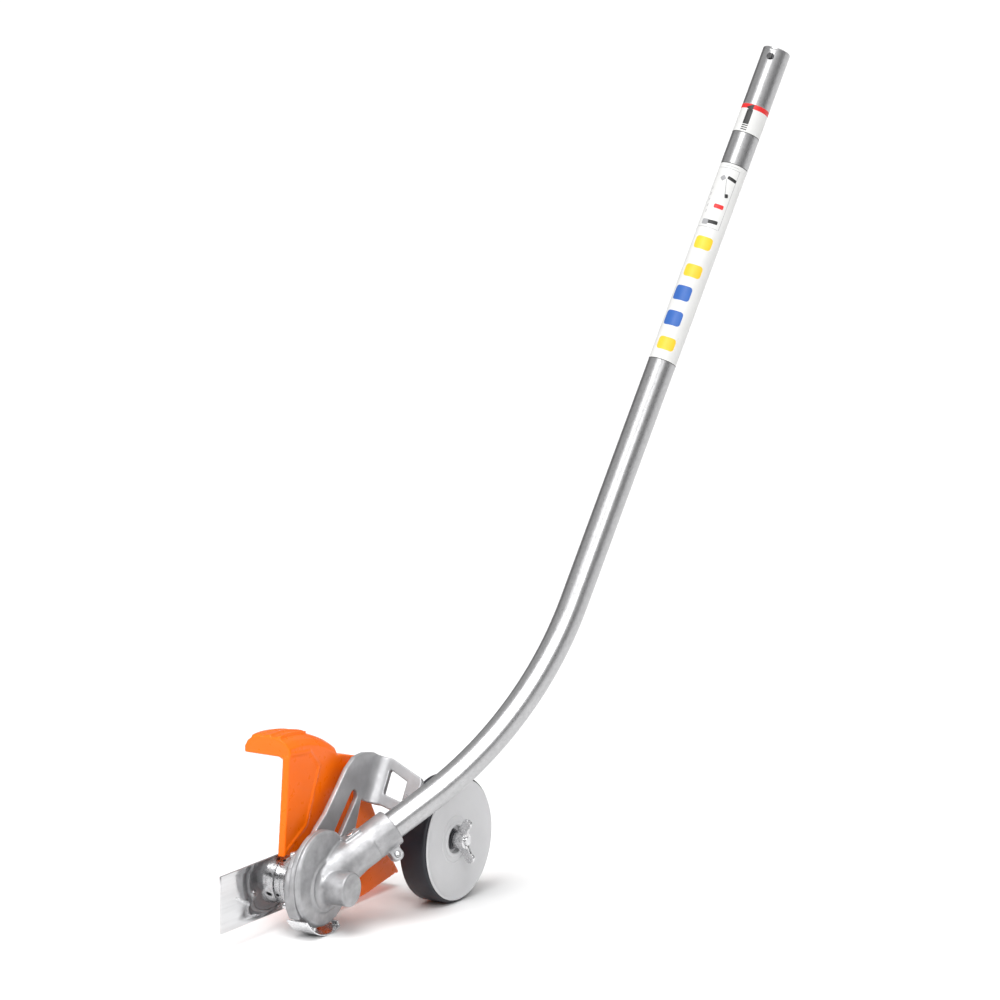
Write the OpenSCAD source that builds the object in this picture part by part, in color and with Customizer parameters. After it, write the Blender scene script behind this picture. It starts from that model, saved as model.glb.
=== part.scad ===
// Curved-shaft lawn edger attachment: bent drive tube, bevel gear head, flat blade,
// blade deflector, cast support bracket and a depth wheel that slides in a slot.
// Head frame: +X is the direction of travel, +Y points from the blade to the wheel side,
// +Z is up, and the point where the pinion axis meets the blade axis is the zero point.
// The finished part is moved so that the centre of the tube's free end is the origin.

/* [Drive tube] */
// Outer diameter of the drive tube
tube_d = 25.4; // [22:0.1:28]
// Wall of the drive tube
tube_wall = 1.5; // [1.2:0.1:2]
// Straight length above the bend
top_len = 539; // [300:1:900]
// Distance from the gear centre to the start of the bend
bend_start = 126; // [105:1:160]
// Centreline radius of the bend
bend_r = 394; // [300:1:500]
// Sideways swing of the neck away from the blade plane
neck_yaw = 33.5; // [25:0.5:40]
// Rise of the neck above the horizontal
neck_pitch = 31.2; // [25:0.1:38]
// Sideways swing of the upper tube
top_yaw = 11.5; // [4:0.5:16]
// Rise of the upper tube above the horizontal
top_pitch = 59.9; // [54:0.1:66]
// Radius of the locating hole near the free end
locating_hole_r = 3.5; // [2.5:0.1:4]
// Distance of the locating hole from the free end
locating_hole_in = 9.5; // [8:0.5:30]

/* [Gear head] */
// Radius of the gear case drum
drum_r = 42.6; // [41.6:0.1:46]
// Height of the drum's centre above the blade shaft
drum_up = 6; // [4:0.5:7]
// Radius of the boss over the far end of the blade shaft
boss_r = 15.2; // [14.5:0.1:18]
// Distance from the gear centre to the end of the boss
boss_end = 37.5; // [37:0.5:42]
// Radius of the neck and of the tube clamp
neck_r = 17; // [16.5:0.1:19]
// Radius of the neck where it leaves the drum
neck_root_r = 22; // [20:0.5:24]
// Distance from the gear centre to the slit in front of the clamp
clamp_from = 60; // [58:0.5:70]
// Length of the tube clamp
clamp_len = 23; // [18:0.5:30]
// Radius of the blade shaft
shaft_r = 6; // [5:0.1:6.5]
// Teeth of the crown gear
gear_teeth = 24; // [24:4:32]
// Teeth of the pinion
pinion_teeth = 12; // [10:2:14]

/* [Blade] */
// Length of the blade
blade_len = 203.2; // [180:0.1:215]
// Width of the blade
blade_w = 50.8; // [45:0.1:60]
// Thickness of the blade
blade_t = 2; // [1.5:0.1:3]
// Distance of the blade's near face from the gear centre
blade_in = 30.2; // [29:0.1:36]
// Radius of the two discs that grip the blade
disc_r = 21.6; // [18:0.1:24]

/* [Deflector] */
// Radius of the hood's top about the blade shaft
deflector_r = 129; // [124:0.5:140]
// Wall of the deflector
deflector_wall = 3; // [2.5:0.1:4]
// Distance of the deflector's side panel from the gear centre
panel_in = 20.2; // [20:0.1:21]
// Width of the hood from the side panel to its lip
hood_w = 47.6; // [42:0.1:60]

/* [Depth wheel] */
// Radius of the tyre
wheel_r = 56.7; // [50:0.1:58]
// Width of the wheel
wheel_w = 28; // [24:0.5:30]
// Distance of the wheel axle behind the blade shaft
wheel_back = 150.5; // [148:0.5:160]
// Distance of the wheel's outer face from the gear centre
wheel_face = 53.2; // [52:0.1:56]
// How far the wheel can be lowered from its highest working place
wheel_drop = 34; // [20:1:38]
// How far the wheel can be raised from its place at rest
wheel_lift = 4; // [2:0.5:6]
// Thickness of the rubber tyre
tyre_t = 4.5; // [3:0.1:6]

/* [Hidden] */
$fn = 96;
// Running clearance of a shaft in its hole
run = 0.06;

// ---- directions and places of the tube ----
tube_r = tube_d / 2;
function heading(yaw, pitch) = [-cos(yaw) * cos(pitch), sin(yaw) * cos(pitch), sin(pitch)];
neck_dir = heading(neck_yaw, neck_pitch);
top_dir = heading(top_yaw, top_pitch);
neck_ex = [-sin(neck_pitch) * cos(neck_yaw), sin(neck_pitch) * sin(neck_yaw), -cos(neck_pitch)];
neck_ey = [-sin(neck_yaw), -cos(neck_yaw), 0];
bend_angle = acos(neck_dir * top_dir);
bend_roll = atan2(-(top_dir * neck_ey), -(top_dir * neck_ex));
bend_side = (top_dir - neck_dir * cos(bend_angle)) / sin(bend_angle);
bend_end = neck_dir * (bend_start + bend_r * sin(bend_angle)) + bend_side * bend_r * (1 - cos(bend_angle));
tube_end = bend_end + top_dir * top_len;
tube_from = clamp_from - 12;

// ---- levels along the blade shaft ----
drum_face = -6;
flange_face = 0;
drum_split = 5;
drum_top = 10;
bulge_r = 30;
bulge_face = -11;
housing_r = 19;
housing_face = -19;
bearing_r = 14;
cover_bearing_y = [-16, -8];
boss_bearing_r = 12;
boss_bearing_y = [26.5, 32.5];
pad_r = 41.6;
pad_low = -36;
pad_high = 32;
blade_far = blade_in + blade_t;
disc_t = 4;
nut_t = 8;
screw_pcr = 31.4;
screw_r = 2;
screw_head_r = 3.5;
screw_at = [62, 332, 252, 198];
// Only the screw at the lowest place comes out through the case
function screw_tip(a) = a == screw_at[2] ? drum_top : drum_top - 2;

// ---- bevel gears, with their common apex at the zero point ----
cone_out = 27;
cone_in = 19.5;
gear_cavity_r = cone_out + 1;
shaft_angle = acos(-neck_dir[1]);
pinion_cone = atan2(sin(shaft_angle), gear_teeth / pinion_teeth + cos(shaft_angle));
gear_cone = shaft_angle - pinion_cone;
tooth_up = 3;
tooth_down = 3.8;
gear_phase = atan2(neck_dir[2], neck_dir[0]);

// ---- wheel and its plate ----
skid_in = 42;
skid_t = 1.5;
ground = -(skid_in + skid_t);
wheel_up = ground + wheel_r;
wheel_inner = wheel_face - wheel_w;
plate_t = 5;
plate_face = wheel_inner - 5;
bolt_r = 4;
sleeve_r = 6;
hub_r = 11;
web_y = wheel_face - 4.7;

// ---- cast bracket ----
arm_t = 5;
arm_face = drum_face;
ring_r = 35.2;
back_tilt = 60;
back_x = -103;
back_z = 70;
bend_out = 16;

module at_head() translate(-tube_end) children();
module neck_frame() rotate([0, 90 - neck_pitch, 180 - neck_yaw]) rotate([0, 0, bend_roll]) children();
module top_frame()
  neck_frame() translate([-bend_r, 0, bend_start]) rotate([0, -bend_angle, 0]) translate([bend_r, 0, 0]) children();

// A cylinder along Y from a to b
module rod_y(a, b, r) translate([0, a, 0]) rotate([-90, 0, 0]) cylinder(h = b - a, r = r);
// A solid turned about the Y axis from [radius, y] points
module turned_y(points) rotate([-90, 0, 0]) rotate_extrude() polygon(points);
// A plate parallel to the blade, from its far face y - t to its near face y
module plate_y(y, t) translate([0, y, 0]) rotate([90, 0, 0]) linear_extrude(t) children();
// A ring along Z
module ring_z(a, b, r_in, r_out)
  translate([0, 0, a]) difference() {
    cylinder(h = b - a, r = r_out);
    translate([0, 0, -1]) cylinder(h = b - a + 2, r = r_in);
  }
module ring_y(a, b, r_in, r_out) translate([0, a, 0]) rotate([-90, 0, 0]) ring_z(0, b - a, r_in, r_out);

// A tube or rod that follows the drive tube's centreline from a on the neck to b short of the end
module along_tube(r_out, r_in, from, short) {
  neck_frame() translate([0, 0, from]) linear_extrude(bend_start - from) section(r_out, r_in);
  neck_frame() translate([-bend_r, 0, bend_start]) rotate([90, 0, 0])
    rotate_extrude(angle = bend_angle) translate([bend_r, 0]) section(r_out, r_in);
  top_frame() linear_extrude(top_len - short) section(r_out, r_in);
}
module section(r_out, r_in) difference() {
  circle(r = r_out);
  if (r_in > 0) circle(r = r_in);
}

// ---- drive tube and what runs in it ----
hole_roll = -120;
liner_r = 5;
flex_r = 3.2;
module drive_tube() color("silver") at_head() difference() {
  along_tube(tube_r, tube_r - tube_wall, tube_from, 0);
  top_frame() rotate([0, 0, hole_roll]) translate([0, 0, top_len - locating_hole_in]) rotate([0, 90, 0])
    cylinder(h = tube_r + 1, r = locating_hole_r);
  top_frame() rotate([0, 0, hole_roll]) translate([tube_r - 4, -3.2, top_len - 3.8]) cube([8, 6.4, 2]);
}
// Liner of the flexible shaft, held in the middle of the tube by four collars
module tube_liner() color("dimgray") at_head() {
  along_tube(liner_r, flex_r + 0.3, tube_from + 2, 34);
  for (a = [tube_from + 4, bend_start - 12]) neck_frame() ring_z(a, a + 12, liner_r, tube_r - tube_wall);
  for (a = [0, top_len / 2, top_len - 46]) top_frame() ring_z(a, a + 12, liner_r, tube_r - tube_wall);
}
module flex_shaft() color("gray") at_head() along_tube(flex_r, 0, pinion_tail - 6, 34);
module end_bushing() color("dimgray") at_head() top_frame()
  ring_z(top_len - 34, top_len - 21, 5 + run, tube_r - tube_wall);
module drive_end() color("silver") at_head() top_frame() {
  translate([0, 0, top_len - 33.7]) cylinder(h = 25, r = 5);
  translate([-2.8, -2.8, top_len - 8.7]) cube([5.6, 5.6, 8]);
}

// A label is a thin sleeve round the upper tube
label_t = 0.08;
pointer_from = 56;
pointer_len = 27;
notice_from = 114;
notice_len = 198;
module label_sleeve(from, len) top_frame()
  ring_z(top_len - from - len, top_len - from, tube_r, tube_r + label_t);
module pointer_label() color("white") at_head() label_sleeve(pointer_from, pointer_len);
module notice_label() color("white") at_head() label_sleeve(notice_from, notice_len);

// ---- gear case: far half of the drum, boss and the neck with its split clamp ----
ear_roll = -23;
ear_w = 14;
ear_out = neck_r + 10.5;
clamp_mid = clamp_from + 1 + clamp_len / 2;
slit = 1.6;
pinion_tail = 44;
module at_drum() translate([0, 0, drum_up]) children();
module ear_frame() neck_frame() rotate([0, 0, ear_roll - bend_roll]) translate([0, 0, clamp_mid]) children();
module gear_case() color("lightgray") at_head() difference() {
  union() {
    at_drum() turned_y([[0, drum_split], [drum_r, drum_split], [drum_r, drum_top - 2.5],
      [drum_r - 2.5, drum_top], [0, drum_top + 1]]);
    turned_y([[0, drum_split + 1], [24, drum_split + 1], [24, drum_top + 1], [22.5, drum_top + 2.5],
      [20, drum_top + 2], [boss_r + 1, drum_top + 4], [boss_r, drum_top + 7], [boss_r, boss_end - 1],
      [boss_r - 1, boss_end], [0, boss_end]]);
    neck_frame() translate([0, 0, 5]) cylinder(h = 40, r1 = neck_root_r, r2 = neck_r);
    neck_frame() translate([0, 0, 44]) cylinder(h = clamp_from + 1 + clamp_len - 44, r = neck_r);
    neck_frame() rotate([0, 0, pad_roll - bend_roll]) translate([0, -5.5, 41]) cube([neck_r + 2, 11, 16]);
    ear_frame() translate([0, -ear_w / 2, -5.5]) cube([ear_out - 5.5, ear_w, 11]);
    ear_frame() translate([ear_out - 5.5, 0, 0]) rotate([90, 0, 0]) cylinder(h = ear_w, r = 5.6, center = true);
  }
  // flat where the case meets the cover
  translate([-80, -60, -80]) cube([160, drum_split + 60, 160]);
  rod_y(drum_split - 1, drum_split + 2.6, gear_cavity_r);
  rod_y(drum_split - 1, boss_bearing_y[1], boss_bearing_r);
  rod_y(20, 34, shaft_r + 1);
  neck_frame() translate([0, 0, 5]) cylinder(h = 22, r = 15.5);
  neck_frame() translate([0, 0, 20]) cylinder(h = 24.2, r = 11);
  neck_frame() translate([0, 0, 40]) cylinder(h = 60, r = 9);
  neck_frame() translate([0, 0, tube_from]) cylinder(h = 60, r = tube_r);
  // slits that let the clamp close
  neck_frame() rotate([0, 0, ear_roll - bend_roll]) translate([0, -30, clamp_from]) cube([40, 60, slit]);
  neck_frame() rotate([0, 0, ear_roll - bend_roll]) translate([0, -slit / 2, clamp_from])
    cube([40, slit, clamp_len + 5]);
  ear_frame() translate([ear_out - 5.5, 0, 0]) rotate([90, 0, 0]) cylinder(h = 40, r = 2.5, center = true);
  for (a = screw_at) rotate([0, -a, 0]) translate([screw_pcr, 0, 0]) rod_y(drum_split - 1, screw_tip(a), screw_r);
  on_neck(locating_at) cylinder(h = 20, r = 2.5);
  on_neck(locating_at) translate([0, 0, locating_at[2]]) cylinder(h = 10, r = 4.2);
  on_neck(grease_at) cylinder(h = 20, r = 3);
  skid_frame() cylinder(h = 60, r = 2);
}
// Places on the neck: roll about its axis, distance from the gear centre and radius of the seat
pad_roll = 180;
locating_at = [100, clamp_mid + 3, neck_r - 0.5];
grease_at = [pad_roll, 49, neck_r + 2];
module on_neck(place) neck_frame() rotate([0, 0, place[0] - bend_roll]) translate([0, 0, place[1]])
  rotate([0, 90, 0]) children();
module gear_cover() color("lightgray") at_head() difference() {
  union() {
    rod_y(drum_face, drum_split, ring_r + 1.6);
    at_drum() rod_y(flange_face, drum_split, drum_r);
    rotate([0, -pad_low, 0]) rotate([-90, 0, 0]) translate([0, 0, drum_face]) rotate_extrude(angle = pad_low - pad_high)
      translate([20, 0]) square([pad_r - 20, drum_split - drum_face - 0.4]);
    rod_y(bulge_face, drum_face, bulge_r);
    rod_y(housing_face, bulge_face, housing_r);
  }
  rod_y(-6.8, drum_split + 1, gear_cavity_r);
  rod_y(-30, 0, bearing_r - 2);
  rod_y(-30, cover_bearing_y[1], bearing_r);
  neck_frame() translate([0, 0, 14]) cylinder(h = 13.4, r = 15);
  neck_frame() translate([0, 0, 24]) cylinder(h = 20.4, r = 11.2);
  for (a = screw_at) rotate([0, -a, 0]) translate([screw_pcr, 0, 0]) rod_y(-20, 20, screw_r + 0.1);
  skid_frame() cylinder(h = 60, r = 2);
}
module cover_screws() color("gray") at_head() for (a = screw_at) rotate([0, -a, 0])
  translate([screw_pcr, 0, 0]) difference() {
    union() {
      rod_y(arm_face - arm_t - 4, arm_face - arm_t, screw_head_r);
      rod_y(arm_face - arm_t, screw_tip(a), screw_r);
    }
    translate([0, arm_face - arm_t - 5, 0]) rotate([-90, 0, 0]) cylinder(h = 3.4, r = 1.9, $fn = 6);
  }
module clamp_screw() color("silver") at_head() ear_frame() translate([ear_out - 5.5, 0, 0]) rotate([90, 0, 0])
  difference() {
    union() {
      cylinder(h = ear_w + 4, r = 2.5, center = true);
      translate([0, 0, -ear_w / 2 - 4.2]) cylinder(h = 4.2, r = 4.5);
    }
    translate([0, 0, -ear_w / 2 - 5]) cylinder(h = 3.6, r = 2.2, $fn = 6);
  }
module locating_screw() color("silver") at_head() on_neck(locating_at) {
  translate([0, 0, tube_r]) cylinder(h = locating_at[2] - tube_r, r = 2.5);
  translate([0, 0, locating_at[2]]) difference() {
    cylinder(h = 3.5, r = 4);
    translate([0, 0, 1]) cylinder(h = 5, r = 2, $fn = 6);
  }
}
module grease_plug() color("gray") at_head() on_neck(grease_at) {
  translate([0, 0, grease_at[2] - 4]) cylinder(h = 4, r = 3);
  translate([0, 0, grease_at[2]]) cylinder(h = 1.2, r = 4.4);
}

// ---- bearings ----
module ball_bearing(a, b, r_in, r_out) {
  ring_z(a, b, r_out - 1.8, r_out);
  ring_z(a, b, r_in, r_in + 1.8);
  ring_z(a + 0.8, b - 0.8, r_in + 1.8, r_out - 1.8);
}
module boss_bearing() color("silver") at_head() rotate([-90, 0, 0])
  ball_bearing(boss_bearing_y[0], boss_bearing_y[1], shaft_r + run, boss_bearing_r);
module cover_bearing() color("silver") at_head() rotate([-90, 0, 0])
  ball_bearing(cover_bearing_y[0], cover_bearing_y[1], shaft_r + run, bearing_r);
module pinion_bearings() color("silver") at_head() neck_frame() for (a = [27, 36])
  ball_bearing(a, a + 7, 4 + run, 11);
module pinion_ring() color("dimgray") at_head() neck_frame() ring_z(43, 44.2, 9, 11);
module snap_ring() color("dimgray") at_head() rotate([-90, 0, 0])
  ring_z(cover_bearing_y[0] - 1.1, cover_bearing_y[0], bearing_r - 2, bearing_r);
module shaft_seal() color("black") at_head() rotate([-90, 0, 0])
  ring_z(housing_face + 0.2, cover_bearing_y[0] - 1.1, shaft_r + 0.3, bearing_r);

// ---- blade spindle ----
module blade_shaft() color("silver") at_head() difference() {
  union() {
    rod_y(-blade_far - disc_t - nut_t - 3, 33.2, shaft_r);
    rod_y(-7.6, -6.4, 9);
  }
  key_block();
}
module shaft_key() color("gray") at_head() key_block();
module key_block() translate([-2, -blade_in + 0.8, shaft_r - 1.5]) cube([4, blade_in + housing_face - 2, 3]);

// One bevel tooth, a wedge of rays from the apex; cone angles are taken from the gear's own axis
module bevel_tooth(root, tip, root_half, tip_half) {
  corners = [[root, -root_half], [tip, -tip_half], [tip, tip_half], [root, root_half]];
  function ray(c, a) = a * [sin(c[0]) * cos(c[1]), sin(c[0]) * sin(c[1]), cos(c[0])];
  polyhedron(points = [for (a = [cone_in, cone_out]) for (c = corners) ray(c, a)],
    faces = [[0, 1, 2, 3], [7, 6, 5, 4], [0, 4, 5, 1], [1, 5, 6, 2], [2, 6, 7, 3], [3, 7, 4, 0]]);
}
module crown_gear() color("gray") at_head() rotate([90, 0, 0]) difference() {
  union() {
    rotate_extrude() polygon([[shaft_r, -6], [10, -6], [10, 0.6], [cone_in - 1, 1.2],
      [cone_in * sin(gear_cone - tooth_down), cone_in * cos(gear_cone - tooth_down)],
      [cone_out * sin(gear_cone - tooth_down), cone_out * cos(gear_cone - tooth_down)],
      [cone_out + 0.5, 6.3], [shaft_r, 6.3]]);
    for (i = [0 : gear_teeth - 1]) rotate([0, 0, gear_phase + 360 / gear_teeth * i])
      bevel_tooth(gear_cone - tooth_down - 0.4, gear_cone + tooth_up, 66 / gear_teeth + 40 / gear_teeth,
        48 / gear_teeth);
  }
  translate([0, 0, -10]) cylinder(h = 30, r = shaft_r);
}
module pinion() color("gray") at_head() rotate([0, 90 - neck_pitch, 180 - neck_yaw]) {
  difference() {
    union() {
      rotate_extrude() polygon([[0, cone_in * cos(pinion_cone)], 
        [cone_in * sin(pinion_cone - tooth_down), cone_in * cos(pinion_cone - tooth_down)],
        [cone_out * sin(pinion_cone - tooth_down), cone_out * cos(pinion_cone - tooth_down)],
        [cone_out * sin(pinion_cone - tooth_down), 26.7], [0, 26.7]]);
      for (i = [0 : pinion_teeth - 1]) rotate([0, 0, pinion_phase + 360 / pinion_teeth * (i + 0.5)])
        bevel_tooth(pinion_cone - tooth_down - 0.4, pinion_cone + tooth_up, 110 / pinion_teeth,
          46 / pinion_teeth);
      translate([0, 0, 26]) cylinder(h = pinion_tail - 26, r = 4);
    }
    translate([0, 0, pinion_tail - 6]) cylinder(h = 10, r = flex_r + run);
  }
}
// Turn of the pinion that puts a gap on the plane of the two axes
pinion_phase = atan2(-(neck_ey[1]), -(neck_ex[1]));

hole_ring = [-27.5, 62.5, 152.5, 242.5];
module thrust_disc() color("silver") at_head() difference() {
  union() {
    rod_y(-blade_in, housing_face - 0.4, disc_r);
    rod_y(-blade_far + 0.2, -blade_in, 12.7);
  }
  rod_y(-60, 0, shaft_r);
  for (a = hole_ring) rotate([0, -a, 0]) translate([disc_r - 9, -blade_in + 6.3, 0]) rotate([0, 90, 0])
    cylinder(h = 12, r = 2.2);
  key_block();
}
module blade() color("gainsboro") at_head() difference() {
  translate([-blade_len / 2, -blade_far, -blade_w / 2]) cube([blade_len, blade_t, blade_w]);
  rod_y(-60, 0, 12.7);
}
module clamp_disc() color("silver") at_head() turned_y([[shaft_r, -blade_far], [disc_r, -blade_far],
  [disc_r, -blade_far - disc_t + 1], [disc_r - 1.5, -blade_far - disc_t], [shaft_r, -blade_far - disc_t]]);
module blade_nut() color("gray") at_head() difference() {
  union() {
    translate([0, -blade_far - disc_t - nut_t, 0]) rotate([-90, 0, 0]) cylinder(h = nut_t, r = 9.8, $fn = 6);
    rod_y(-blade_far - disc_t - 1.5, -blade_far - disc_t, 11);
  }
  rod_y(-80, 0, shaft_r);
}

// ---- skid plate under the drum, with a welded bush that its screw passes through ----
skid_from = -8;
skid_to = 14;
skid_rear = -114;
skid_screw_at = [-72, 2.5];
bush_foot = 34;
module skid_frame() rotate([0, -skid_screw_at[0], 0]) translate([0, skid_screw_at[1], 0]) rotate([0, 90, 0])
  children();
module skid_plate() color("silver") at_head() difference() {
  union() {
    rotate([0, -pad_low, 0]) rotate([-90, 0, 0]) translate([0, 0, skid_from])
      rotate_extrude(angle = pad_low - skid_rear) translate([skid_in, 0]) square([skid_t, skid_to - skid_from]);
    rotate([0, -skid_rear, 0]) translate([skid_in - 7, 6, 0.2]) cube([7.7, skid_to - 7, skid_t]);
    skid_frame() cylinder(h = skid_in + 0.4, r = 4.5);
  }
  at_drum() rod_y(-20, 20, drum_r);
  skid_frame() cylinder(h = 60, r = 2);
}
module skid_screw() color("gray") at_head() skid_frame() {
  translate([0, 0, bush_foot - 6]) cylinder(h = skid_in + skid_t - bush_foot + 6, r = 2);
}

// ---- support bracket: ring round the cover, arm, rounded corner and tilted back plate ----
// Local X of the back frame climbs the plate, Y is the blade axis and Z points to the rear
module back_frame() translate([back_x, 0, back_z]) rotate([0, back_tilt - 180, 0]) children();
back_up = [-cos(back_tilt), sin(back_tilt)];
back_out = [sin(back_tilt), cos(back_tilt)];
function on_back(u, w) = [back_x, back_z] + u * back_up - w * back_out;
corner_w = plate_t - bend_out;
corner_y = arm_face - arm_t + bend_out;
back_low = -21;
back_high = 22.5;
arm_slot_a = [-45, 36];
arm_slot_b = [-70, 62.5];
arm_slot_r = 6;
arm_slot_turn = atan2(arm_slot_b[1] - arm_slot_a[1], arm_slot_b[0] - arm_slot_a[0]);
post_at = [[-40, 18], [-84, 84], [-92, 57]];
module arm_outline() difference() {
  union() {
    circle(r = ring_r);
    polygon([[2, 34], [-9, 44], [-12, 47], [-26, 56.5], [-45, 75], [-60, 90], [-73, 97.5], [-88, 98.5],
      on_back(back_high, corner_w - 0.6), on_back(back_high, plate_t + 1), on_back(back_low, plate_t + 1),
      on_back(back_low, corner_w - 0.6), [-70.8, 29], [-40, 10]]);
  }
  circle(r = bulge_r + 0.1);
  polygon([for (i = [0 : 31]) let (a = arm_slot_turn - 90 + i * 180 / 15.5 - (i > 15 ? 180 / 15.5 : 0))
    (i < 16 ? arm_slot_b : arm_slot_a) + arm_slot_r * [cos(a), sin(a)]]);
}
// Outline of the back plate, in the back frame's X and Y
back_end = 42;
module back_outline() difference() {
  polygon([[back_high - 0.1, corner_y - 4], [back_high - 0.1, corner_y + 0.6], [back_high - 1, 8],
    [8.5, back_end - 2], [5, back_end], [-27, back_end], [-30, back_end - 4], [-24.5, 20],
    [back_low + 0.1, corner_y + 0.6], [back_low + 0.1, corner_y - 4]]);
  polygon([[12.4, 6.5], [3.5, 27], [-15.6, 27], [-10.6, 6.5]]);
}
// A sheet as thick as the arm, bent round the corner between the arm and the back plate
module bent_sheet() back_frame() translate([-160, 0, 0]) rotate([90, 0, 90]) linear_extrude(220) {
  translate([corner_y - bend_out, corner_w - 100]) square([arm_t, 100]);
  translate([corner_y, corner_w]) intersection() {
    difference() {
      circle(r = bend_out);
      circle(r = bend_out - arm_t);
    }
    translate([-bend_out, 0]) square(bend_out);
  }
  translate([corner_y, plate_t - arm_t]) square([60, arm_t]);
}
module bracket() color("lightgray") at_head() difference() {
  intersection() {
    bent_sheet();
    union() {
      plate_y(corner_y - 2, bend_out + 2) arm_outline();
      back_frame() translate([0, 0, -6]) linear_extrude(plate_t + 8) back_outline();
    }
  }
  for (a = screw_at) rotate([0, -a, 0]) translate([screw_pcr, 0, 0]) rod_y(-20, 20, screw_r + 0.2);
  for (p = post_at) translate([p[0], 0, p[1]]) rod_y(-20, arm_face - 1, 2);
  for (p = plate_bolt_at) back_frame() translate([p[0], p[1], -1]) cylinder(h = 10, r = 2.6);
}

// ---- blade deflector: side panel, arched hood over the blade and a flange down its rear edge ----
hood_from = 85.4;
hood_to = 123.2;
panel_r = deflector_r - 9.5;
lip_y = -panel_in - hood_w;
function turn(r, a) = [r * cos(a), r * sin(a)];
// Points of a line moved sideways by d
function side_step(p, d) = [for (i = [0 : len(p) - 1])
  let (a = p[max(i - 1, 0)], b = p[min(i + 1, len(p) - 1)], u = (b - a) / norm(b - a)) p[i] + d * [-u[1], u[0]]];
tail = [turn(panel_r - 1.5, hood_to - 0.5), [-74, 98], [-95.5, 92.4], [-121, 43], [-154, -14], [-165, -29]];
module deflector_outline() difference() {
  polygon(concat([[18.6, 28]], [for (a = [hood_from + 0.4 : 2.1 : hood_to - 1]) turn(panel_r - 1.5, a)], tail,
    [[-107, -38.5], [-62, -38], [-24, -16], [-24, 10], [4.9, 22.8]]));
  circle(r = disc_r + 4);
}
// Hood section as [height below the top, distance from the panel]
hood_section = [[9.5, 0], [4.5, 4], [1.5, 10], [0, 20], [0, 30], [1.5, 38], [5.5, 44], [11, hood_w]];
hood_low = 17.2;
hood_in = hood_w - 2.4;
hood_inside = [[hood_low + 12, deflector_wall], [12, deflector_wall], [8.4, 6], [5, 11.4],
  [3.5, 20], [3.5, 30], [4.9, 36.8], [8.4, 41.8], [12, hood_in], [hood_low + 12, hood_in]];
// A solid turned about the blade axis between two angles of the hood
module hood_turned(from, to, points)
  rotate([0, -from, 0]) rotate([-90, 0, 0]) rotate_extrude(angle = from - to)
    polygon([for (p = points) [deflector_r - p[0], -panel_in - p[1]]]);
module deflector() color("darkorange") at_head() difference() {
  union() {
    plate_y(-panel_in - 0.05, deflector_wall - 0.1) deflector_outline();
    difference() {
      hood_turned(hood_from, hood_to, concat(hood_section, [[hood_low, hood_w], [hood_low, 12],
        [hood_low + 3, 6], [hood_low + 10, deflector_wall], [hood_low + 10, 0]]));
      hood_turned(hood_from + 1.4, hood_to - 1.4, hood_inside);
    }
    // flange down the rear edge
    plate_y(-panel_in - 0.05, hood_w - 0.1) polygon(concat(tail, [for (i = [len(tail) - 1 : -1 : 0])
      side_step(tail, deflector_wall)[i]]));
    for (p = post_at) translate([p[0], 0, p[1]]) rod_y(-panel_in - 1, arm_face - arm_t, 5);
  }
  for (p = post_at) translate([p[0], 0, p[1]]) rod_y(-40, 0, 2.3);
}
module deflector_screws() color("gray") at_head() for (p = post_at) translate([p[0], 0, p[1]]) {
  rod_y(-panel_in - deflector_wall - 2.6, -panel_in - deflector_wall, 4.5);
  rod_y(-panel_in - deflector_wall, arm_face - 1, 2);
}

// ---- slotted wheel plate, bolted to the rear face of the bracket ----
plate_bolt_at = [[-12.5, 34.5], [-22.5, 34.5]];
flange_t = 4;
slot_w = 8.4;
slot_low = wheel_up - wheel_drop;
slot_high = wheel_up + wheel_lift;
module wheel_plate() color([0.12, 0.12, 0.13]) at_head() difference() {
  union() {
    back_frame() translate([0, 0, plate_t]) linear_extrude(flange_t)
      polygon([[3, 25], [3, back_end - 1], [-27, back_end - 1], [-27, plate_face - plate_t],
        [-16, plate_face - plate_t], [-16, 29], [-5, 29], [-5, 25]]);
    plate_y(plate_face, plate_t) difference() {
      union() {
        polygon([on_back(-27, plate_t + 0.5), on_back(-16, plate_t + 0.5), [-wheel_back + 4, slot_high + 14],
          [-wheel_back, slot_low - 14], [-wheel_back + 13, slot_low]]);
        for (z = [slot_low, slot_high]) translate([-wheel_back, z]) circle(r = 14);
        translate([-wheel_back - 14, slot_low]) square([28, slot_high - slot_low]);
      }
      translate([-wheel_back - slot_w / 2, slot_low - slot_w / 2])
        square([slot_w, slot_high - slot_low + slot_w]);
    }
  }
  for (p = plate_bolt_at) back_frame() translate([p[0], p[1], -1]) cylinder(h = 20, r = 2.5);
}
module wheel_plate_bolts() color("dimgray") at_head() for (p = plate_bolt_at) back_frame()
  translate([p[0], p[1], 0]) {
    translate([0, 0, -3.2]) cylinder(h = 3.2, r = 4.3);
    cylinder(h = plate_t + flange_t, r = 2.5);
  }

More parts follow.
